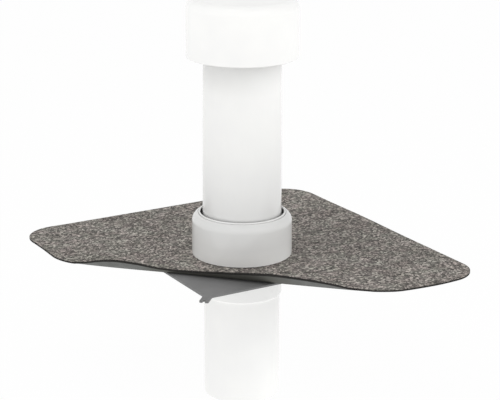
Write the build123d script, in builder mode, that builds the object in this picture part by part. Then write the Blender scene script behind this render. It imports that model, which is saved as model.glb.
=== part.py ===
from build123d import *
import os
from math import atan2, cos, degrees, radians, sin, sqrt, tan

# Roof vent pipe for a flat roof: a rain cap stands on a white vent pipe, the pipe sits in a socket
# collar, and the collar clamps a square bitumen sheet onto a square base plate. A lower pipe hangs
# from the collar's neck and goes down through the roof.
# Lengths are millimetres. +Z is up and the origin is the centre of the lower pipe's open end.
# The sheet's sides run along X and Y, and its cut corner points towards -X -Y.

# Fits and small edges
fit = 0.3  # radial room between round pieces that slide together
edge_round = 0.8  # rounding of the vent pipe's upper edges
edge_bevel = 0.8  # bevel of the collar's rim and of its neck's lower edge

# Heights above the lower pipe's open end, and from the sheet's top
roof_level = 216.0  # top face of the sheet
neck_drop = 60.0  # from the sheet's top down to the neck's lower edge
cap_clear = 287.0  # from the sheet's top up to the rain cap's lower edge

# Lower pipe
spigot_od = 110.0
spigot_wall = 3.2
spigot_chamfer = 1.5
weld_end_step = 0.8  # the end inside the neck is turned down by this much
weld_end_room = 0.5  # axial room above the turned-down end

# Base plate
plate_side = 268.0
plate_thickness = 2.5
lug_width = 12.6
lug_reach = 14.3  # how far a forked lug stands out past its corner
lug_slot_width = 3.6
lug_slot_depth = 5.0
lug_round = 1.6  # rounding of the lug's outer corners
lug_root_round = 3.0

# Bitumen sheet
sheet_side = 490.0
sheet_thickness = 2.5
sheet_corner_radius = 55.0
right_corner_radius = 42.0  # the corner towards +X -Y is cut less round
cut_distance = 109.0  # from the pipe's axis to the flat part of the cut edge
cut_bearing = 224.2  # direction of the cut corner, in degrees from +X
lip_flat = 3.0  # width of the lip where it lies flat
lip_run_per_rise = 0.95  # how much further out the lip reaches for each millimetre of rise
lip_margin = 1.0  # flat length left between the lip and the rounded corners
# The lip's rise along the cut, from the left end (-1) to the right end (+1)
lip_rises = [
    (-1.00, 0.0),
    (-0.90, 5.9),
    (-0.80, 12.4),
    (-0.69, 16.0),
    (-0.55, 13.6),
    (-0.40, 7.5),
    (-0.25, 6.7),
    (0.00, 10.4),
    (0.20, 14.5),
    (0.36, 17.0),
    (0.55, 14.4),
    (0.72, 9.4),
    (0.88, 1.8),
    (1.00, 0.0),
]

# Vent pipe above the roof, drafted as moulded
vent_wall = 3.2
vent_foot_step = 2.0  # how much the foot's radius is larger than the lower pipe's
vent_in_cap = 45.0  # how far the pipe reaches up into the cap

# Collar
collar_height = 62.0  # from the sheet's top to the mouth
collar_wall = 3.0
shoulder_radius = 14.0
skirt_room = 6.0  # hollow between the seal housing and the outer skirt
mouth_gap = 3.0  # radial room round the pipe's foot size at the mouth
rim_wall = 2.5
rim_height = 2.1  # how far the mouth's rim stands above the shoulder
rim_groove_width = 1.2  # groove round the rim's foot
rim_groove_depth = 1.2
socket_wall = 3.0
neck_wall = 3.0
flange_thickness = 3.0  # inner flange that the two pipes meet at
seal_depth = 16.0  # from the mouth down to the seal's ledge

# Lip seal
seal_height = 12.0
seal_base = 5.0  # height of the thick part at the bottom
seal_lip = 0.9  # thickness of the lip against the pipe
seal_leg = 0.9  # thickness of the leg along the socket's wall
seal_sink = 2.0  # how far the leg ends below the mouth

# Rain cap
cap_gap = 21.0  # radial air gap between the pipe's top and the skirt
cap_wall = 3.0
cap_height = 85.0
cap_shoulder = 14.0
cap_crown = 3.0
cap_lip_round = 1.4
rib_count = 4
rib_bearing = 45.0
rib_thickness = 3.0
rib_drop = 28.0  # how far the ribs reach down outside the pipe
rib_seat_cover = 2.4  # how much of the pipe's rim a rib stands on

# Levels that follow
sheet_bottom = roof_level - sheet_thickness
plate_bottom = sheet_bottom - plate_thickness
neck_bottom = roof_level - neck_drop
flange_top = sheet_bottom + flange_thickness
mouth_level = roof_level + collar_height
seal_level = mouth_level - seal_depth
cap_bottom = roof_level + cap_clear
vent_top = cap_bottom + vent_in_cap
cap_top = cap_bottom + cap_height

# Radii that follow
spigot_r = spigot_od / 2
bore_r = spigot_r - spigot_wall
weld_end_r = spigot_r - weld_end_step
neck_bore_r = weld_end_r + fit
neck_r = neck_bore_r + neck_wall
vent_foot_r = spigot_r + vent_foot_step
vent_top_r = spigot_r
socket_bore_r = vent_foot_r + fit
socket_r = socket_bore_r + socket_wall
mouth_r = vent_foot_r + mouth_gap
rim_r = mouth_r + rim_wall
housing_r = mouth_r + socket_wall
skirt_bore_r = housing_r + skirt_room
skirt_r = skirt_bore_r + collar_wall
cap_bore_r = vent_top_r + cap_gap
cap_r = cap_bore_r + cap_wall

# Directions of the sheet's cut: outward from the axis, and along the cut
up = Vector(0, 0, 1)
outward = Vector(1, 0, 0).rotate(Axis.Z, cut_bearing)
along = up.cross(outward)
lip_root = cut_distance - lip_flat


def radial_plane(bearing):
    """Upright plane through the axis: local x runs outward at the bearing, local y is height."""
    x_dir = Vector(1, 0, 0).rotate(Axis.Z, bearing)
    return Plane(origin=(0, 0, 0), x_dir=x_dir, z_dir=x_dir.cross(up))


def vent_r(level):
    """Outer radius of the drafted vent pipe at a level."""
    share = (level - flange_top) / (vent_top - flange_top)
    return vent_foot_r + (vent_top_r - vent_foot_r) * share


def lip_plane(place):
    """Upright plane across the cut: local x is outward from the lip's root, local y is height."""
    origin = outward * lip_root + along * place + up * sheet_bottom
    return Plane(origin=origin, x_dir=outward, z_dir=outward.cross(up))


# Lower pipe: a plain spigot, with its upper end turned down to go into the neck
with BuildPart() as lower_pipe:
    with BuildSketch(Plane.XZ) as wall:
        with BuildLine() as outline:
            Polyline(
                (bore_r, 0),
                (spigot_r - spigot_chamfer, 0),
                (spigot_r, spigot_chamfer),
                (spigot_r, neck_bottom),
                (weld_end_r, neck_bottom),
                (weld_end_r, sheet_bottom - weld_end_room),
                (bore_r, sheet_bottom - weld_end_room),
                close=True,
            )
        make_face()
    revolve(axis=Axis.Z)

# Base plate: a flat square with a forked screw lug at each corner and a hole for the neck
plate_corner = plate_side / sqrt(2)
lug_end = plate_corner + lug_reach
lug_length = lug_reach + lug_width
with BuildPart() as base_plate:
    with BuildSketch(Plane.XY.offset(plate_bottom)) as plan:
        Rectangle(plate_side, plate_side)
        with PolarLocations(lug_end, 4, start_angle=45):
            RectangleRounded(
                lug_length, lug_width, lug_round, align=(Align.MAX, Align.CENTER)
            )
        lug_roots = plan.vertices().sort_by(SortBy.DISTANCE)[:8]
        fillet(lug_roots, lug_root_round)
        with PolarLocations(lug_end, 4, start_angle=45):
            SlotOverall(2 * lug_slot_depth, lug_slot_width, mode=Mode.SUBTRACT)
        Circle(neck_r + fit, mode=Mode.SUBTRACT)
    extrude(amount=plate_thickness)

# Bitumen sheet: a square with rounded corners and one corner cut away, where the edge curls up
cut_foot = outward * cut_distance
left_turn = along.get_angle(Vector(0, -1, 0))
right_turn = along.get_angle(Vector(1, 0, 0))
cut_left = (-sheet_side / 2 - cut_foot.X) / along.X
cut_right = (-sheet_side / 2 - cut_foot.Y) / along.Y
lip_left = cut_left + sheet_corner_radius * tan(radians(left_turn / 2)) + lip_margin
lip_right = cut_right - sheet_corner_radius * tan(radians(right_turn / 2)) - lip_margin
lip_middle = (lip_left + lip_right) / 2
lip_half = (lip_right - lip_left) / 2
with BuildPart() as bitumen_sheet:
    with BuildSketch(Plane.XY.offset(sheet_bottom)) as plan:
        Rectangle(sheet_side, sheet_side)
        with PolarLocations(cut_distance, 1, start_angle=cut_bearing):
            Rectangle(
                sheet_side,
                2 * sheet_side,
                align=(Align.MIN, Align.CENTER),
                mode=Mode.SUBTRACT,
            )
        rightward = Axis((0, 0, 0), (1, -1, 0))
        fillet(plan.vertices().sort_by(rightward)[-1], right_corner_radius)
        fillet(plan.vertices().sort_by(rightward)[:-2], sheet_corner_radius)
        Circle(socket_r + fit, mode=Mode.SUBTRACT)
        with PolarLocations(lip_root, 1, start_angle=cut_bearing):
            with Locations((0, lip_middle)):
                Rectangle(
                    2 * lip_flat,
                    2 * lip_half,
                    align=(Align.MIN, Align.CENTER),
                    mode=Mode.SUBTRACT,
                )
    extrude(amount=sheet_thickness)
    for place, rise in lip_rises:
        run = lip_flat + lip_run_per_rise * rise
        slope = atan2(2 * rise, run)
        tip = (run - sheet_thickness * sin(slope), rise + sheet_thickness * cos(slope))
        bend = (run / 2 - sheet_thickness * tan(slope / 2), sheet_thickness)
        with BuildSketch(lip_plane(lip_middle + place * lip_half)) as section:
            with BuildLine() as curl:
                Bezier((0, 0), (run / 2, 0), (run, rise))
                Line((run, rise), tip)
                Bezier(tip, bend, (0, sheet_thickness))
                Line((0, sheet_thickness), (0, 0))
            make_face()
    loft()

# Collar: an outer skirt with a rounded shoulder, a socket inside it and a neck below the plate
shoulder_centre = skirt_r - shoulder_radius
shoulder_end = mouth_level - rim_height
groove_r = rim_r + rim_groove_width
groove_floor = shoulder_end - rim_groove_depth
shoulder_level = shoulder_end - sqrt(shoulder_radius**2 - (groove_r - shoulder_centre) ** 2)
inner_shoulder = shoulder_radius - collar_wall
inner_end = shoulder_level + sqrt(inner_shoulder**2 - (housing_r - shoulder_centre) ** 2)
shoulder_turn = degrees(atan2(shoulder_end - shoulder_level, groove_r - shoulder_centre))
inner_turn = degrees(atan2(inner_end - shoulder_level, housing_r - shoulder_centre))
housing_foot = seal_level - socket_wall
with BuildPart() as collar:
    with BuildSketch(Plane.XZ) as wall:
        with BuildLine() as outline:
            Polyline(
                (groove_r, shoulder_end),
                (groove_r, groove_floor),
                (rim_r, groove_floor),
                (rim_r, mouth_level),
                (mouth_r, mouth_level),
                (mouth_r, seal_level),
                (socket_bore_r, seal_level),
                (socket_bore_r, flange_top),
                (bore_r, flange_top),
                (bore_r, sheet_bottom),
                (neck_bore_r, sheet_bottom),
                (neck_bore_r, neck_bottom),
                (neck_r, neck_bottom),
                (neck_r, sheet_bottom),
                (socket_r, sheet_bottom),
                (socket_r, housing_foot),
                (housing_r, seal_level),
                (housing_r, inner_end),
            )
            CenterArc((shoulder_centre, shoulder_level), inner_shoulder, 0, inner_turn)
            Polyline(
                (skirt_bore_r, shoulder_level),
                (skirt_bore_r, roof_level),
                (skirt_r, roof_level),
                (skirt_r, shoulder_level),
            )
            CenterArc((shoulder_centre, shoulder_level), shoulder_radius, 0, shoulder_turn)
        make_face()
        rim_corners = wall.vertices().group_by(Axis.Y)[-1]
        neck_corner = wall.vertices().sort_by_distance((neck_r, neck_bottom))[0]
        chamfer([*rim_corners, neck_corner], edge_bevel)
    revolve(axis=Axis.Z)

# Lip seal: a rubber ring on the socket's ledge, with a leg along the wall and a lip to the pipe
seal_r = mouth_r - fit
seal_top = seal_level + seal_height
with BuildPart() as lip_seal:
    with BuildSketch(Plane.XZ) as wall:
        with BuildLine() as outline:
            Polyline(
                (socket_bore_r, seal_level),
                (seal_r, seal_level),
                (seal_r, mouth_level - seal_sink),
                (seal_r - seal_leg, mouth_level - seal_sink),
                (seal_r - seal_leg, seal_level + seal_base),
                (vent_r(seal_top) + fit + seal_lip, seal_top),
                (vent_r(seal_top) + fit, seal_top),
                (socket_bore_r, seal_level + seal_base),
                close=True,
            )
        make_face()
    revolve(axis=Axis.Z)

# Vent pipe: drafted from its foot in the socket to its open top inside the cap
with BuildPart() as vent_pipe:
    with BuildSketch(Plane.XZ) as wall:
        with BuildLine() as outline:
            Polyline(
                (vent_foot_r - vent_wall, flange_top),
                (vent_foot_r, flange_top),
                (vent_top_r, vent_top),
                (vent_top_r - vent_wall, vent_top),
                close=True,
            )
        make_face()
        fillet(wall.vertices().group_by(Axis.Y)[-1], edge_round)
    revolve(axis=Axis.Z)

# Rain cap: a shell with a rounded shoulder, and ribs that stand on the pipe's rim and centre it
roof_edge = cap_r - cap_shoulder
shoulder_base = cap_top - cap_crown - cap_shoulder
inner_corner = cap_shoulder - cap_wall
middle_corner = cap_shoulder - cap_wall / 2
rib_foot_r = vent_r(vent_top - rib_drop) + fit
with BuildPart() as rain_cap:
    with BuildSketch(Plane.XZ) as wall:
        with BuildLine() as outline:
            ThreePointArc(
                (-roof_edge, cap_top - cap_crown), (0, cap_top), (roof_edge, cap_top - cap_crown)
            )
            CenterArc((roof_edge, shoulder_base), cap_shoulder, 0, 90)
            Polyline(
                (cap_r, shoulder_base),
                (cap_r, cap_bottom),
                (cap_bore_r, cap_bottom),
                (cap_bore_r, shoulder_base),
            )
            CenterArc((roof_edge, shoulder_base), inner_corner, 0, 90)
            ThreePointArc(
                (roof_edge, cap_top - cap_crown - cap_wall),
                (0, cap_top - cap_wall),
                (-roof_edge, cap_top - cap_crown - cap_wall),
            )
            Line(
                (-roof_edge, cap_top - cap_crown - cap_wall), (-roof_edge, cap_top - cap_crown)
            )
        make_face()
        Rectangle(
            2 * cap_r, 2 * cap_top, align=(Align.MAX, Align.CENTER), mode=Mode.SUBTRACT
        )
        fillet(wall.vertices().group_by(Axis.Y)[0], min(cap_lip_round, 0.45 * cap_wall))
    revolve(axis=Axis.Z)
    for number in range(rib_count):
        bearing = rib_bearing + number * 360 / rib_count
        with BuildSketch(radial_plane(bearing)) as rib:
            with BuildLine() as outline:
                Polyline(
                    (roof_edge, shoulder_base + middle_corner),
                    (vent_top_r - rib_seat_cover, shoulder_base + middle_corner),
                    (vent_top_r - rib_seat_cover, vent_top),
                    (rib_foot_r, vent_top),
                    (rib_foot_r, vent_top - rib_drop),
                    (cap_r - cap_wall / 2, vent_top - rib_drop),
                    (cap_r - cap_wall / 2, shoulder_base),
                )
                CenterArc((roof_edge, shoulder_base), middle_corner, 0, 90)
            make_face()
        extrude(amount=rib_thickness / 2, both=True)

pieces = {
    "lower_pipe": lower_pipe,
    "base_plate": base_plate,
    "bitumen_sheet": bitumen_sheet,
    "collar": collar,
    "lip_seal": lip_seal,
    "vent_pipe": vent_pipe,
    "rain_cap": rain_cap,
}
os.makedirs("parts", exist_ok=True)
for name, piece in pieces.items():
    piece.part.label = name
    export_step(piece.part, f"parts/{name}.step")
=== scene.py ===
# Roof vent pipe: the looks of the cap, pipes, collar, seal, base plate and slated bitumen sheet.
# Lengths are metres in the frame of the construction: +Z up, origin at the lower pipe's open end.
import math

import bpy
from mathutils import Matrix, Vector


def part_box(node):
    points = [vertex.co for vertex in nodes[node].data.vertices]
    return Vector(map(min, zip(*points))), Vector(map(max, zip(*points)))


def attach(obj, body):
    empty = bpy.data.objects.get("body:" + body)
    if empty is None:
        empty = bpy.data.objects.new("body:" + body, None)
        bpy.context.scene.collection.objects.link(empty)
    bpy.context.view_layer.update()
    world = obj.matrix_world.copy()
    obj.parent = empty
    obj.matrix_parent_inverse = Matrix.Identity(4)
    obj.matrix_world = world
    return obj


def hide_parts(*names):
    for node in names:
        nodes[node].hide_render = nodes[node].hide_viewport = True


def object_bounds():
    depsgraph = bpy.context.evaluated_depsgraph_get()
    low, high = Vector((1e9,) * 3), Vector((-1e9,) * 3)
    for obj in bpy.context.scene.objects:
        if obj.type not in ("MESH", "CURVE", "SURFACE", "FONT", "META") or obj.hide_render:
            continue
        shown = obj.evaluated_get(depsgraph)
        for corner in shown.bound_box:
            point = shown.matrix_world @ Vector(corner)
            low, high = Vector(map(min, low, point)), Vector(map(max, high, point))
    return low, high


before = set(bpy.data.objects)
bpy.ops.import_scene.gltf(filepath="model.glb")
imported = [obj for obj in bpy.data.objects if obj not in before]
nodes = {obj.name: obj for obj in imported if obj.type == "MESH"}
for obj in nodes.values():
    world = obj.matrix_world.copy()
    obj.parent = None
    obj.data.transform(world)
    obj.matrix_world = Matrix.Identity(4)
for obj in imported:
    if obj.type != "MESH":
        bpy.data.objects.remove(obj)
cad_low, cad_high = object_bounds()

mm = 0.001

# Bitumen sheet: a square with rounded corners and one corner cut away, where the edge curls up
sheet_low, sheet_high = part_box("bitumen_sheet")
sheet_side = 2 * sheet_high.x
sheet_half = sheet_side / 2
sheet_bottom = sheet_low.z
sheet_thickness = 2.5 * mm
sheet_corner_radius = 55 * mm
right_corner_radius = 42 * mm  # the corner towards +X -Y is cut less round
sheet_hole_radius = 60.6 * mm
hole_cutter_depth = 4 * sheet_thickness  # stands out of the sheet above and below
cut_distance = 109 * mm  # from the pipe's axis to the flat part of the cut edge
cut_bearing = math.radians(224.2)
cut_outward = Vector((math.cos(cut_bearing), math.sin(cut_bearing), 0))
cut_along = Vector((0, 0, 1)).cross(cut_outward)
lip_flat = 3 * mm  # width of the lip where it lies flat
lip_root = cut_distance - lip_flat
lip_run_per_rise = 0.95  # how much further out the lip reaches for each millimetre of rise
lip_margin = 1 * mm  # flat length left between the lip and the rounded corners
# The lip's rise in millimetres along the cut, from the left end (-1) to the right end (+1)
lip_rises = [
    (-1.00, 0.0),
    (-0.90, 5.9),
    (-0.80, 12.4),
    (-0.69, 16.0),
    (-0.55, 13.6),
    (-0.40, 7.5),
    (-0.25, 6.7),
    (0.00, 10.4),
    (0.20, 14.5),
    (0.36, 17.0),
    (0.55, 14.4),
    (0.72, 9.4),
    (0.88, 1.8),
    (1.00, 0.0),
]
# Slight waves in the sheet's edge: place, rise and reach
edge_waves = [
    (Vector((-245, 160)) * mm, 3.0 * mm, 120 * mm),
    (Vector((80, -238)) * mm, 1.6 * mm, 50 * mm),
    (Vector((175, -245)) * mm, -2.1 * mm, 75 * mm),
    (Vector((245, 45)) * mm, 0.9 * mm, 110 * mm),
]

# The sheet's mesh
sheet_cell = 10 * mm  # spacing, fine enough to bend
lip_rows = 16  # rows across the lip
lip_cell = 4 * mm  # spacing along the lip
arc_segments = 20  # segments in a rounded corner
hole_segments = 128
edge_tolerance = 0.01 * mm  # a vertex this near to the cut lies on it
smooth_angle = math.radians(35)

# Places of the sheet's finishes in its list of materials, after the slate
cut_face = 1
underside = 2
painted_shade_radius = 138 * mm  # inside it the underside is darkened: painted shade over the plate
unshaded_radius = 172 * mm  # outside it the underside has its plain sanded colour

# Tints painted on the white plastic, by height in millimetres. The cap is evenly a little grey. The pipe
# carries painted shade, darker under the cap and near the collar, and the collar painted shade above the
# roof, darkest near its shoulder. The drain stays plain white
cap_tint = [(503, "#f7f7f7"), (588, "#f7f7f7")]
pipe_painted_shade = [
    (286, "#e6e6e6"),
    (330, "#eeeeee"),
    (430, "#f5f5f5"),
    (455, "#f6f6f6"),
    (500, "#e9e9e9"),
]
collar_painted_shade = [
    (213, "#ffffff"),
    (228, "#f6f6f6"),
    (240, "#ececec"),
    (262, "#e6e6e6"),
    (274, "#dcdcdc"),
    (278, "#eeeeee"),
]
drain_tint = [(0, "#ffffff"), (213, "#ffffff")]
pvc_ior = 1.53

# Camera of the photograph: a long lens that looks down on the cut corner
camera_place = Vector((-1.0939, -1.8517, 0.9609))
camera_aim = Vector((0.49007, 0.81968, -0.29656))
camera_roll = math.radians(0.227)
camera_lens = 113.3
camera_sensor = 36

# Light: a white room with a dimmer ceiling, a light table as floor, and soft boxes round the object,
# the strongest of them above its left side
horizon_level = 1.07
zenith_level = 0.3
table_level = 1.19  # light that comes up through the floor
floor_side = 30
floor_shadow = 0.025  # share of the object's shadow that shows on the white floor
box_size = 1.2
# Place and power in watts of each soft box
soft_boxes = {
    "left": (Vector((-2.2, 0.9, 0.9)), 1.1),
    "right": (Vector((1.9, -1.4, 0.9)), 6.8),
    "front": (Vector((0.46, -1.72, 1.9)), 8.2),
    "top": (Vector((-0.98, 0.03, 2.48)), 18),
}

# Sockets of the nodes that mix, which go by number because their names repeat
mix_factor = 0
first_number, second_number, mixed_number = 2, 3, 0
first_colour, second_colour, mixed_colour = 6, 7, 2
first_shader, second_shader = 1, 2


def linear(hex_code):
    """Linear RGBA of an sRGB hex colour."""
    levels = [int(hex_code[i : i + 2], 16) / 255 for i in (1, 3, 5)]
    return (*[v / 12.92 if v <= 0.04045 else ((v + 0.055) / 1.055) ** 2.4 for v in levels], 1)


def per_metre(size_mm):
    """Texture scale at which a pattern's features are about this many millimetres wide."""
    return 1000 / size_mm


def add_node(tree, kind, settings, inputs):
    """Adds a node with its properties and with its inputs, each a plain value or a socket to link."""
    made = tree.nodes.new(kind)
    for name, value in settings.items():
        setattr(made, name, value)
    for name, value in inputs.items():
        if isinstance(value, bpy.types.NodeSocket):
            tree.links.new(value, made.inputs[name])
        else:
            made.inputs[name].default_value = value
    return made


def new_material(name):
    """An empty node material, its tree, its shader and its object coordinates."""
    material = bpy.data.materials.new(name)
    material.use_nodes = True
    tree = material.node_tree
    tree.nodes.clear()
    place = add_node(tree, "ShaderNodeTexCoord", {}, {}).outputs["Object"]
    shader = add_node(tree, "ShaderNodeBsdfPrincipled", {}, {})
    add_node(tree, "ShaderNodeOutputMaterial", {}, {"Surface": shader.outputs[0]})
    return material, tree, shader, place


def set_ramp(ramp, stops):
    """Gives a colour ramp its stops, each a place and an sRGB hex colour."""
    elements = ramp.color_ramp.elements
    while len(elements) < len(stops):
        elements.new(0.5)  # anywhere, until the next lines place it
    for element, (place, colour) in zip(elements, stops):
        element.position = place
        element.color = linear(colour)


def white_with_painted_shade(tree, place, flow, painted_shade_tints):
    """White PVC with tints given at heights in millimetres, which paint shade on the pipe and collar."""
    tone = add_node(tree, "ShaderNodeValToRGB", {}, {"Fac": flow})
    set_ramp(tone, [(0.3, "#f3f3f2"), (0.7, "#f8f8f6")])
    lowest, highest = painted_shade_tints[0][0], painted_shade_tints[-1][0]
    height = add_node(tree, "ShaderNodeSeparateXYZ", {}, {"Vector": place}).outputs["Z"]
    climb = add_node(
        tree,
        "ShaderNodeMapRange",
        {},
        {"Value": height, "From Min": lowest * mm, "From Max": highest * mm},
    )
    tint = add_node(tree, "ShaderNodeValToRGB", {}, {"Fac": climb.outputs["Result"]})
    set_ramp(tint, [((level - lowest) / (highest - lowest), colour) for level, colour in painted_shade_tints])
    # Painted shade: the white multiplied by the tint at its height
    shade_painted = add_node(
        tree,
        "ShaderNodeMix",
        {"data_type": "RGBA", "blend_type": "MULTIPLY"},
        {mix_factor: 1.0, first_colour: tone.outputs["Color"], second_colour: tint.outputs["Color"]},
    )
    return shade_painted.outputs[mixed_colour]


def moulded_pvc(name, painted_shade_tints):
    """Injection-moulded white PVC: satin white with tints by height (painted shade on the collar), with
    the tool's fine grain.
    """
    flow_mm = 60
    grain_mm = 0.8  # the tool's own grain is finer, and is drawn coarser so that close views show it
    material, tree, shader, place = new_material(name)
    flow = add_node(
        tree, "ShaderNodeTexNoise", {}, {"Vector": place, "Scale": per_metre(flow_mm), "Detail": 2}
    )
    tone = white_with_painted_shade(tree, place, flow.outputs["Fac"], painted_shade_tints)
    gloss = add_node(
        tree, "ShaderNodeMapRange", {}, {"Value": flow.outputs["Fac"], "To Min": 0.1, "To Max": 0.16}
    )
    grain = add_node(
        tree, "ShaderNodeTexNoise", {}, {"Vector": place, "Scale": per_metre(grain_mm), "Detail": 1}
    )
    relief = add_node(
        tree,
        "ShaderNodeBump",
        {},
        {"Height": grain.outputs["Fac"], "Strength": 0.08, "Distance": 0.05 * mm},
    )
    tree.links.new(tone, shader.inputs["Base Color"])
    tree.links.new(gloss.outputs["Result"], shader.inputs["Roughness"])
    tree.links.new(relief.outputs["Normal"], shader.inputs["Normal"])
    shader.inputs["IOR"].default_value = pvc_ior
    return material


def extruded_pvc(name, painted_shade_tints):
    """Extruded white PVC pipe: the same white and tints by height (painted shade on the vent pipe), with
    faint draw lines along its length.
    """
    flow_mm = 80
    draw_line_mm = 2
    draw_stretch = (1, 1, 0.01)  # the lines run on along the pipe
    material, tree, shader, place = new_material(name)
    flow = add_node(
        tree, "ShaderNodeTexNoise", {}, {"Vector": place, "Scale": per_metre(flow_mm), "Detail": 2}
    )
    tone = white_with_painted_shade(tree, place, flow.outputs["Fac"], painted_shade_tints)
    drawn = add_node(tree, "ShaderNodeMapping", {}, {"Vector": place, "Scale": draw_stretch})
    lines = add_node(
        tree,
        "ShaderNodeTexNoise",
        {},
        {"Vector": drawn.outputs[0], "Scale": per_metre(draw_line_mm), "Detail": 3},
    )
    gloss = add_node(
        tree, "ShaderNodeMapRange", {}, {"Value": lines.outputs["Fac"], "To Min": 0.1, "To Max": 0.18}
    )
    relief = add_node(
        tree,
        "ShaderNodeBump",
        {},
        {"Height": lines.outputs["Fac"], "Strength": 0.1, "Distance": 0.06 * mm},
    )
    tree.links.new(tone, shader.inputs["Base Color"])
    tree.links.new(gloss.outputs["Result"], shader.inputs["Roughness"])
    tree.links.new(relief.outputs["Normal"], shader.inputs["Normal"])
    shader.inputs["IOR"].default_value = pvc_ior
    return material


def seal_rubber():
    """Moulded EPDM rubber: matt black with a dusty bloom."""
    bloom_mm = 8
    material, tree, shader, place = new_material("black_epdm_rubber")
    bloom = add_node(
        tree, "ShaderNodeTexNoise", {}, {"Vector": place, "Scale": per_metre(bloom_mm), "Detail": 4}
    )
    tone = add_node(tree, "ShaderNodeValToRGB", {}, {"Fac": bloom.outputs["Fac"]})
    set_ramp(tone, [(0.35, "#141414"), (0.7, "#232322")])
    tree.links.new(tone.outputs["Color"], shader.inputs["Base Color"])
    shader.inputs["Roughness"].default_value = 0.7
    return material


def plate_plastic():
    """Moulded mid-grey polypropylene: matt, with a fine leathery grain and faint flow clouds."""
    flow_mm = 45
    grain_mm = 1
    material, tree, shader, place = new_material("grey_polypropylene")
    flow = add_node(
        tree, "ShaderNodeTexNoise", {}, {"Vector": place, "Scale": per_metre(flow_mm), "Detail": 3}
    )
    tone = add_node(tree, "ShaderNodeValToRGB", {}, {"Fac": flow.outputs["Fac"]})
    set_ramp(tone, [(0.3, "#696969"), (0.7, "#727272")])
    grain = add_node(
        tree, "ShaderNodeTexNoise", {}, {"Vector": place, "Scale": per_metre(grain_mm), "Detail": 2}
    )
    relief = add_node(
        tree,
        "ShaderNodeBump",
        {},
        {"Height": grain.outputs["Fac"], "Strength": 0.15, "Distance": 0.1 * mm},
    )
    tree.links.new(tone.outputs["Color"], shader.inputs["Base Color"])
    tree.links.new(relief.outputs["Normal"], shader.inputs["Normal"])
    shader.inputs["Roughness"].default_value = 0.55
    return material


def slate_granules():
    """Crushed slate rolled into bitumen: dull grains of many greys, in pinkish and greenish drifts."""
    # Real granules are 1 to 2 mm wide, and are drawn a little coarser so that they show
    granule_mm = 2.6
    hue_mm = 16
    drift_mm = 25
    material, tree, shader, place = new_material("slate_granules")
    granules = add_node(
        tree, "ShaderNodeTexVoronoi", {}, {"Vector": place, "Scale": per_metre(granule_mm)}
    )
    pick = add_node(tree, "ShaderNodeSeparateColor", {}, {"Color": granules.outputs["Color"]})
    shade = add_node(tree, "ShaderNodeValToRGB", {}, {"Fac": pick.outputs["Red"]})
    set_ramp(shade, [(0.0, "#3a3834"), (0.3, "#686460"), (0.65, "#87827c"), (1.0, "#cdc8bf")])
    blend = add_node(
        tree, "ShaderNodeTexNoise", {}, {"Vector": place, "Scale": per_metre(hue_mm), "Detail": 2}
    )
    hue = add_node(tree, "ShaderNodeValToRGB", {}, {"Fac": blend.outputs["Fac"]})
    set_ramp(hue, [(0.35, "#83817a"), (0.65, "#89817d")])
    tinted = add_node(
        tree,
        "ShaderNodeMix",
        {"data_type": "RGBA", "blend_type": "COLOR"},
        {mix_factor: 0.9, first_colour: shade.outputs["Color"], second_colour: hue.outputs["Color"]},
    )
    drift = add_node(
        tree, "ShaderNodeTexNoise", {}, {"Vector": place, "Scale": per_metre(drift_mm), "Detail": 3}
    )
    cloud = add_node(tree, "ShaderNodeValToRGB", {}, {"Fac": drift.outputs["Fac"]})
    set_ramp(cloud, [(0.3, "#dcdad8"), (0.7, "#ffffff")])
    mottled = add_node(
        tree,
        "ShaderNodeMix",
        {"data_type": "RGBA", "blend_type": "MULTIPLY"},
        {
            mix_factor: 1.0,
            first_colour: tinted.outputs[mixed_colour],
            second_colour: cloud.outputs["Color"],
        },
    )
    relief = add_node(
        tree,
        "ShaderNodeBump",
        {"invert": True},
        {"Height": granules.outputs["Distance"], "Strength": 0.7, "Distance": 0.8 * mm},
    )
    tree.links.new(mottled.outputs[mixed_colour], shader.inputs["Base Color"])
    tree.links.new(relief.outputs["Normal"], shader.inputs["Normal"])
    shader.inputs["Roughness"].default_value = 0.88
    return material


def bitumen_cut():
    """Knife-cut edge of the sheet: black bitumen round a felt carrier, slightly smeared."""
    smear_mm = 3
    material, tree, shader, place = new_material("bitumen_cut_edge")
    smear = add_node(
        tree, "ShaderNodeTexNoise", {}, {"Vector": place, "Scale": per_metre(smear_mm), "Detail": 4}
    )
    tone = add_node(tree, "ShaderNodeValToRGB", {}, {"Fac": smear.outputs["Fac"]})
    set_ramp(tone, [(0.3, "#232221"), (0.7, "#302e2c")])
    relief = add_node(
        tree,
        "ShaderNodeBump",
        {},
        {"Height": smear.outputs["Fac"], "Strength": 0.5, "Distance": 0.3 * mm},
    )
    tree.links.new(tone.outputs["Color"], shader.inputs["Base Color"])
    tree.links.new(relief.outputs["Normal"], shader.inputs["Normal"])
    shader.inputs["Roughness"].default_value = 0.9
    shader.inputs["Specular IOR Level"].default_value = 0.2
    return material


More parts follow.
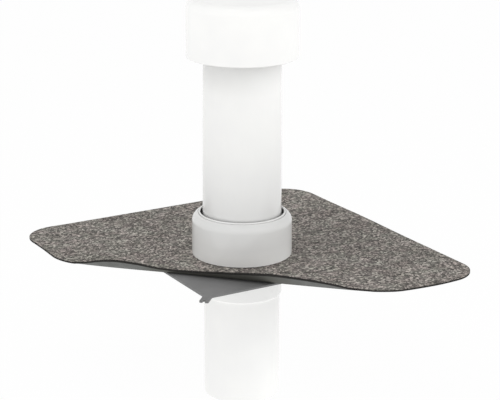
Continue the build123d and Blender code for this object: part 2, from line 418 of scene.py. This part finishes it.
def sanded_underside():
    """Underside of the sheet: bitumen dusted with fine grey sand, smooth to the eye, darkened over the
    plate as painted shade.
    """
    dust_mm = 12
    sand_mm = 0.7
    painted_shade_colour = linear("#54544f")
    material, tree, shader, place = new_material("sanded_underside")
    dust = add_node(
        tree, "ShaderNodeTexNoise", {}, {"Vector": place, "Scale": per_metre(dust_mm), "Detail": 5}
    )
    tone = add_node(tree, "ShaderNodeValToRGB", {}, {"Fac": dust.outputs["Fac"]})
    set_ramp(tone, [(0.3, "#616260"), (0.7, "#6d6e6c")])
    # Towards the plate the underside turns dark as painted shade, where the plate keeps the light from it
    flat_place = add_node(
        tree, "ShaderNodeVectorMath", {"operation": "MULTIPLY"}, {0: place, 1: (1, 1, 0)}
    )
    from_axis = add_node(
        tree, "ShaderNodeVectorMath", {"operation": "LENGTH"}, {0: flat_place.outputs["Vector"]}
    )
    unshaded = add_node(
        tree,
        "ShaderNodeMapRange",
        {"interpolation_type": "SMOOTHSTEP"},
        {"Value": from_axis.outputs["Value"], "From Min": painted_shade_radius, "From Max": unshaded_radius},
    )
    shade_painted = add_node(
        tree,
        "ShaderNodeMix",
        {"data_type": "RGBA"},
        {
            mix_factor: unshaded.outputs["Result"],
            first_colour: painted_shade_colour,
            second_colour: tone.outputs["Color"],
        },
    )
    sand = add_node(
        tree, "ShaderNodeTexNoise", {}, {"Vector": place, "Scale": per_metre(sand_mm), "Detail": 1}
    )
    relief = add_node(
        tree,
        "ShaderNodeBump",
        {},
        {"Height": sand.outputs["Fac"], "Strength": 0.25, "Distance": 0.1 * mm},
    )
    tree.links.new(shade_painted.outputs[mixed_colour], shader.inputs["Base Color"])
    tree.links.new(relief.outputs["Normal"], shader.inputs["Normal"])
    shader.inputs["Roughness"].default_value = 0.85
    shader.inputs["Specular IOR Level"].default_value = 0.25
    return material


def pick_parts(piece, kind, test):
    """In edit mode, selects only the vertices or the faces of the piece that pass the test."""
    bpy.ops.object.mode_set(mode="EDIT")
    bpy.ops.mesh.select_mode(type=kind)
    bpy.ops.mesh.select_all(action="DESELECT")
    bpy.ops.object.mode_set(mode="OBJECT")
    mesh = piece.data
    parts = {"VERT": mesh.vertices, "FACE": mesh.polygons}[kind]
    for part in parts:
        part.select = test(part)
    bpy.ops.object.mode_set(mode="EDIT")


def pick_nearest(piece, spot):
    """In edit mode, selects only the vertex that lies nearest to a spot, seen from above."""
    nearest = min(piece.data.vertices, key=lambda v: (v.co.xy - spot).length).index
    pick_parts(piece, "VERT", lambda v: v.index == nearest)


def slice_mesh(step, low, high, normal):
    """Cuts the selected faces with planes across the normal, a step apart between two distances."""
    count = max(2, round((high - low) / step))
    for number in range(1, count):
        spot = low + (high - low) * number / count
        bpy.ops.mesh.bisect(plane_co=normal * spot, plane_no=normal)
        bpy.ops.mesh.select_all(action="SELECT")


def sheet_outline():
    """The sheet without thickness: a square with one corner cut away and the others rounded."""
    bpy.ops.mesh.primitive_plane_add(size=sheet_side, location=(0, 0, sheet_bottom))
    piece = bpy.context.object
    piece.name = "slated_sheet"
    bpy.ops.object.transform_apply(location=True, rotation=True, scale=True)
    bpy.ops.object.mode_set(mode="EDIT")
    bpy.ops.mesh.select_all(action="SELECT")
    cut_middle = cut_outward * cut_distance
    bpy.ops.mesh.bisect(plane_co=cut_middle, plane_no=cut_outward, clear_outer=True)
    bpy.ops.object.mode_set(mode="OBJECT")

    # Round the square's three corners, then the two blunt ones at the ends of the cut
    square_turn = math.radians(90)
    left_turn = cut_along.angle(Vector((0, -1, 0)))
    right_turn = cut_along.angle(Vector((1, 0, 0)))
    corners = [
        (Vector((sheet_half, sheet_half, 0)), square_turn, sheet_corner_radius),
        (Vector((-sheet_half, sheet_half, 0)), square_turn, sheet_corner_radius),
        (Vector((sheet_half, -sheet_half, 0)), square_turn, right_corner_radius),
        (cut_middle - cut_along * sheet_half, left_turn, sheet_corner_radius),
        (cut_middle + cut_along * sheet_half, right_turn, sheet_corner_radius),
    ]
    for corner, turn, radius in corners:
        pick_nearest(piece, corner.xy)
        bpy.ops.mesh.bevel(offset=radius * math.tan(turn / 2), segments=arc_segments, affect="VERTICES")
        bpy.ops.object.mode_set(mode="OBJECT")
    return piece


def lip_ends(piece):
    """Left and right ends of the lip, as distances along the cut of the flat sheet."""
    cut_edge = [
        v.co.dot(cut_along)
        for v in piece.data.vertices
        if v.co.dot(cut_outward) > cut_distance - edge_tolerance
    ]
    return min(cut_edge) + lip_margin, max(cut_edge) - lip_margin


def divide_sheet(piece):
    """Divides the flat sheet so that it can bend, most finely in the lip, and gives the lip's ends."""
    bpy.ops.object.mode_set(mode="EDIT")
    bpy.ops.mesh.select_mode(type="FACE")
    bpy.ops.mesh.select_all(action="SELECT")
    slice_mesh(sheet_cell, -sheet_half, sheet_half, Vector((1, 0, 0)))
    slice_mesh(sheet_cell, -sheet_half, sheet_half, Vector((0, 1, 0)))
    for row in range(lip_rows):
        spot = lip_root + lip_flat * row / lip_rows
        bpy.ops.mesh.bisect(plane_co=cut_outward * spot, plane_no=cut_outward)
        bpy.ops.mesh.select_all(action="SELECT")
    bpy.ops.object.mode_set(mode="OBJECT")

    left, right = lip_ends(piece)
    count = round((right - left) / lip_cell)
    for number in range(count + 1):
        pick_parts(piece, "FACE", lambda f: f.center.dot(cut_outward) > lip_root)
        spot = left + (right - left) * number / count
        bpy.ops.mesh.bisect(plane_co=cut_along * spot, plane_no=cut_along)
    bpy.ops.object.mode_set(mode="OBJECT")
    return left, right


def lip_place(point, ends):
    """Place of a point along the lip, from -1 at its left end to 1 at its right end."""
    left, right = ends
    middle = (left + right) / 2
    half = (right - left) / 2
    return (point.dot(cut_along) - middle) / half


def rise_at(place):
    """Rise of the lip at a place from -1 to 1 along the cut, on a smooth curve through lip_rises."""
    spots = [spot for spot, _ in lip_rises]
    rises = [rise * mm for _, rise in lip_rises]
    last = len(spots) - 1
    slopes = [
        (rises[min(i + 1, last)] - rises[max(i - 1, 0)])
        / (spots[min(i + 1, last)] - spots[max(i - 1, 0)])
        for i in range(last + 1)
    ]
    i = max(k for k in range(last) if spots[k] <= place)
    gap = spots[i + 1] - spots[i]
    t = (place - spots[i]) / gap
    start = rises[i] * (1 + 2 * t) + slopes[i] * gap * t
    end = rises[i + 1] * (3 - 2 * t) - slopes[i + 1] * gap * (1 - t)
    return max(0, start * (1 - t) ** 2 + end * t**2)


def curl_lip(piece, ends):
    """Curls the lip: each row moves out by its share of the run and up by the share's square."""
    for vertex in piece.data.vertices:
        share = (vertex.co.dot(cut_outward) - lip_root) / lip_flat
        place = lip_place(vertex.co, ends)
        if share > 0 and abs(place) < 1:
            rise = rise_at(place)
            vertex.co += cut_outward * lip_run_per_rise * rise * share
            vertex.co.z += rise * share**2


def wave_edges(piece):
    """Lifts or lowers stretches of the edge a little, as the sheet lies."""
    for spot, rise, reach in edge_waves:
        pick_nearest(piece, spot)
        bpy.ops.transform.translate(
            value=(0, 0, rise),
            use_proportional_edit=True,
            proportional_edit_falloff="SMOOTH",
            proportional_size=reach,
        )
        bpy.ops.object.mode_set(mode="OBJECT")


def thicken_sheet(piece, finishes):
    """Gives the sheet its thickness upwards, with slate on top and the other finishes round it."""
    wall = piece.modifiers.new("thickness", "SOLIDIFY")
    wall.thickness = sheet_thickness
    wall.offset = 1
    wall.use_even_offset = True
    wall.material_offset = underside
    wall.material_offset_rim = cut_face
    for finish in finishes:
        piece.data.materials.append(finish)
    bpy.ops.object.modifier_apply(modifier=wall.name)


def widen_dark_edge(piece, ends):
    """Gives the outermost row of the lip's underside the dark finish of the cut edge, so the dark edge
    looks wider.
    """
    for face in piece.data.polygons:
        place = lip_place(face.center, ends)
        if face.material_index == underside and abs(place) < 1:
            reach = lip_flat + lip_run_per_rise * rise_at(place)
            if face.center.dot(cut_outward) > lip_root + reach * (1 - 1 / lip_rows):
                face.material_index = cut_face


def pierce_sheet(piece, finish):
    """Cuts the round hole for the socket, whose wall gets the finish."""
    bpy.ops.mesh.primitive_cylinder_add(
        vertices=hole_segments,
        radius=sheet_hole_radius,
        depth=hole_cutter_depth,
        location=(0, 0, sheet_bottom),
    )
    cutter = bpy.context.object
    cutter.data.materials.append(finish)
    hole = piece.modifiers.new("hole", "BOOLEAN")
    hole.object = cutter
    hole.solver = "EXACT"
    hole.material_mode = "TRANSFER"
    bpy.context.view_layer.objects.active = piece
    bpy.ops.object.modifier_apply(modifier=hole.name)
    bpy.data.objects.remove(cutter)


def flashing_sheet(finishes):
    """The slated bitumen sheet, with its cut corner and curled lip."""
    piece = sheet_outline()
    ends = divide_sheet(piece)
    curl_lip(piece, ends)
    wave_edges(piece)
    thicken_sheet(piece, finishes)
    widen_dark_edge(piece, ends)
    pierce_sheet(piece, finishes[cut_face])
    piece.select_set(True)
    bpy.ops.object.shade_smooth_by_angle(angle=smooth_angle)
    return piece


def dress_part():
    """Finishes on the solids, and the sheet with its waves and slate in place of its plain solid."""
    bpy.ops.object.select_all(action="DESELECT")
    finishes = {
        "rain_cap": moulded_pvc("white_cap_pvc", cap_tint),
        "collar": moulded_pvc("white_collar_pvc", collar_painted_shade),
        "vent_pipe": extruded_pvc("white_pipe_pvc", pipe_painted_shade),
        "lower_pipe": extruded_pvc("white_drain_pvc", drain_tint),
        "lip_seal": seal_rubber(),
        "base_plate": plate_plastic(),
    }
    for name, finish in finishes.items():
        for slot in nodes[name].material_slots:
            slot.material = finish

    sheet = flashing_sheet([slate_granules(), bitumen_cut(), sanded_underside()])
    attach(sheet, "root")
    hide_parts("bitumen_sheet")


def seen_directly(tree):
    """Socket that is 1 for rays from the camera, from reflections and through clear surfaces."""
    path = add_node(tree, "ShaderNodeLightPath", {}, {})
    seen = path.outputs["Is Camera Ray"]
    for name in ("Is Glossy Ray", "Is Transmission Ray"):
        seen = add_node(
            tree, "ShaderNodeMath", {"operation": "MAXIMUM"}, {0: seen, 1: path.outputs[name]}
        ).outputs[0]
    return seen


def light_table():
    """White floor: seen from above as white with a faint shadow, clear from below, and lit through."""
    bpy.ops.mesh.primitive_plane_add(size=floor_side)
    floor = bpy.context.object
    floor.name = "floor"
    material, tree, shader, _ = new_material("white_floor")
    shader.inputs["Base Color"].default_value = linear("#f8f8f8")
    shader.inputs["Roughness"].default_value = 0.9
    white = add_node(tree, "ShaderNodeEmission", {}, {"Strength": 1})
    clear = add_node(tree, "ShaderNodeBsdfTransparent", {}, {})
    shown = add_node(
        tree,
        "ShaderNodeMixShader",
        {},
        {mix_factor: 1 - floor_shadow, first_shader: shader.outputs[0], second_shader: white.outputs[0]},
    )
    from_below = add_node(tree, "ShaderNodeNewGeometry", {}, {}).outputs["Backfacing"]
    seen = add_node(
        tree,
        "ShaderNodeMath",
        {"operation": "SUBTRACT", "use_clamp": True},
        {0: seen_directly(tree), 1: from_below},
    )
    both = add_node(
        tree,
        "ShaderNodeMixShader",
        {},
        {mix_factor: seen.outputs[0], first_shader: clear.outputs[0], second_shader: shown.outputs[0]},
    )
    tree.links.new(both.outputs[0], tree.get_output_node("ALL").inputs["Surface"])
    floor.data.materials.append(material)


def white_room():
    """Even light from below, and from above a light that dims from the horizon to the ceiling."""
    world = bpy.data.worlds.new("white_room")
    bpy.context.scene.world = world
    world.use_nodes = True
    tree = world.node_tree
    tree.nodes.clear()
    direction = add_node(tree, "ShaderNodeTexCoord", {}, {}).outputs["Generated"]
    height = add_node(tree, "ShaderNodeSeparateXYZ", {}, {"Vector": direction}).outputs["Z"]
    above = add_node(
        tree, "ShaderNodeMapRange", {}, {"Value": height, "To Min": horizon_level, "To Max": zenith_level}
    )
    is_above = add_node(tree, "ShaderNodeMath", {"operation": "GREATER_THAN"}, {0: height, 1: 0})
    room = add_node(
        tree,
        "ShaderNodeMix",
        {},
        {
            mix_factor: is_above.outputs[0],
            first_number: table_level,
            second_number: above.outputs["Result"],
        },
    )
    level = add_node(
        tree,
        "ShaderNodeMix",
        {},
        {mix_factor: seen_directly(tree), first_number: room.outputs[mixed_number], second_number: 1},
    )
    light = add_node(
        tree,
        "ShaderNodeBackground",
        {},
        {"Color": (1, 1, 1, 1), "Strength": level.outputs[mixed_number]},
    )
    add_node(tree, "ShaderNodeOutputWorld", {}, {"Surface": light.outputs[0]})


def soft_light():
    """Soft boxes aimed at the middle of the object, which the glossy plastic doesn't mirror."""
    middle = (cad_low + cad_high) / 2
    for name, (place, watts) in soft_boxes.items():
        bpy.ops.object.light_add(type="AREA", location=place)
        lamp = bpy.context.object
        lamp.name = f"soft_box_{name}"
        lamp.data.size = box_size
        lamp.data.energy = watts
        lamp.visible_glossy = False
        lamp.rotation_euler = (middle - place).to_track_quat("-Z", "Y").to_euler()


def place_camera():
    """The photograph's camera, which shows colours as they are written."""
    bpy.ops.object.camera_add()
    camera = bpy.context.object
    camera.data.lens = camera_lens
    camera.data.sensor_width = camera_sensor
    level_right = camera_aim.cross(Vector((0, 0, 1))).normalized()
    level_up = level_right.cross(camera_aim)
    right = level_right * math.cos(camera_roll) + level_up * math.sin(camera_roll)
    up = level_up * math.cos(camera_roll) - level_right * math.sin(camera_roll)
    turn = Matrix((right, up, -camera_aim)).transposed().to_4x4()
    camera.matrix_world = Matrix.Translation(camera_place) @ turn
    bpy.context.scene.camera = camera
    bpy.context.scene.view_settings.view_transform = "Standard"


dress_part()
light_table()
white_room()
soft_light()
place_camera()
